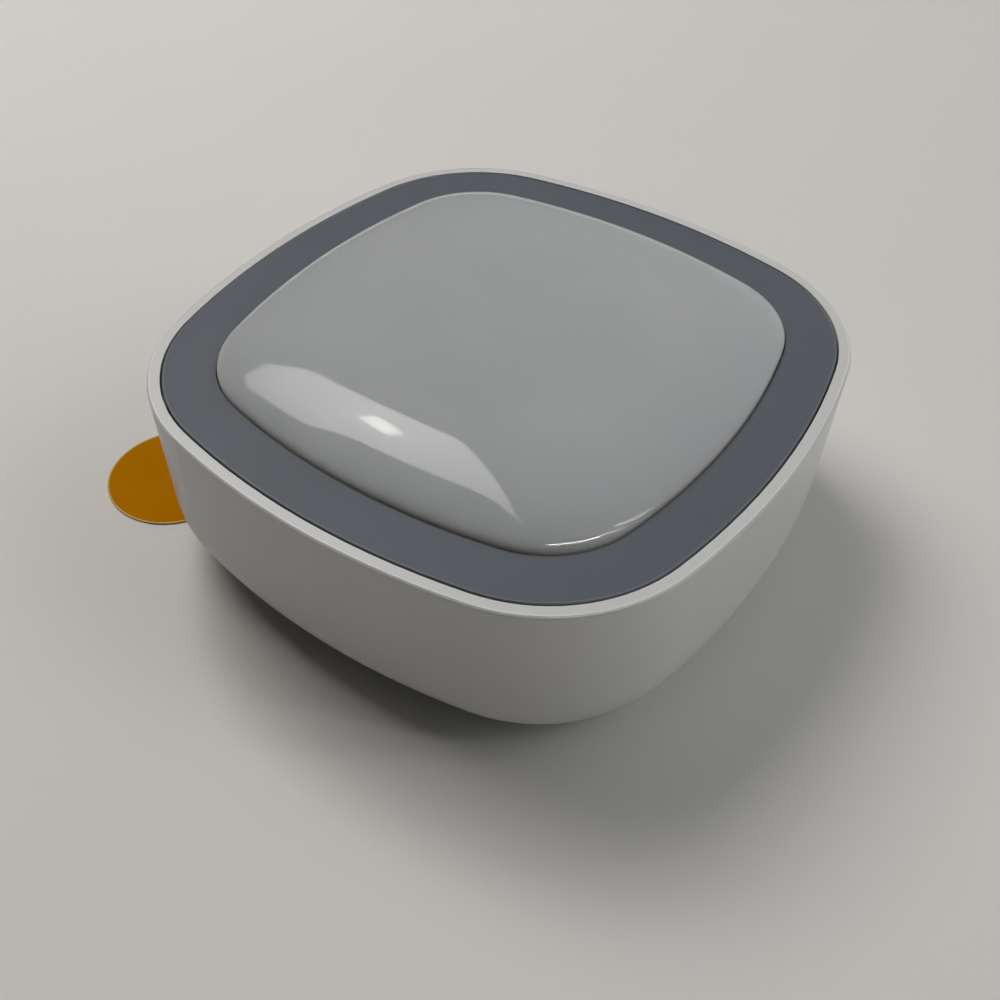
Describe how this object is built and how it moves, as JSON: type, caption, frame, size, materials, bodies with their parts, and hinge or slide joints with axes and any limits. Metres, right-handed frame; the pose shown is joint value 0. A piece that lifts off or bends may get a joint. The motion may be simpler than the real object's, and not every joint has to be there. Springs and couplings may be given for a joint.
{
  "type": "pir motion detector",
  "caption": "Battery PIR motion detector: rounded square white housing, flush grey bezel, low milky lens, twist-lock base with adhesive pad, amber battery pull tab.",
  "frame": {"origin": "centre of the adhesive face, under the middle of the housing", "axes": "+Z out of the surface that the detector is stuck to, up through the lens; X and Y across the housing's flat sides"},
  "size_m": [0.0736, 0.065, 0.0253],
  "materials": {
    "white_shell": "fine satin",
    "grey_bezel": "satin",
    "milky_lens": "glossy, milky",
    "amber_film": "clear amber film",
    "white_inner": "as moulded",
    "black_inner": "as moulded",
    "foam": "closed-cell foam",
    "cell_steel": "bright",
    "spring_steel": "nickel plated",
    "board": "green solder mask",
    "sensor_metal": "nickel plated",
    "filter": "dark infrared filter",
    "ceramic": "pale ceramic",
    "copper": "gold plated",
    "chip_black": "moulded",
    "chip_tan": "sintered",
    "led_white": "moulded"
  },
  "bodies": {
    "base": {"base_plate": "white_shell", "adhesive_pad": "foam"},
    "sensor": {"housing": "white_shell", "bezel_ring": "grey_bezel", "lens_dome": "milky_lens", "lens_retainer": "white_inner", "coin_cell": "cell_steel", "positive_contact": "spring_steel", "negative_contact": "spring_steel", "battery_tray": "white_inner", "main_board": "board", "board_screws": "spring_steel", "switch_case": "chip_black", "pir_spacer": "black_inner", "pir_header": "sensor_metal", "pir_element": "ceramic", "pir_can": "sensor_metal", "pir_window": "filter", "pir_leads": "copper", "radio_board": "board", "radio_shield": "sensor_metal", "radio_antenna": "copper", "amplifier_chip": "chip_black", "chip_legs": "spring_steel", "chip_capacitors": "chip_tan", "chip_resistors": "chip_black", "bulk_capacitor": "chip_tan", "status_led": "led_white", "light_sensor": "filter"},
    "tab": {"pull_tab": "amber_film"},
    "button": {"pair_button": "black_inner", "switch_stem": "white_inner"}
  },
  "joints": [
    {"name": "base_twist", "type": "hinge", "parent": "base", "child": "sensor", "pos_m": [0, 0, 0], "axis": [0, 0, 1], "range_deg": [0, 20]},
    {"name": "tab_pull", "type": "slide", "parent": "sensor", "child": "tab", "axis": [-0.848, -0.5299, 0], "range_m": [0, 0.018]},
    {"name": "button_press", "type": "slide", "parent": "sensor", "child": "button", "axis": [0, 0, 1], "range_m": [0, 0.0003], "stiffness_N_per_m": 3000, "springref_m": -0.0001}
  ]
}
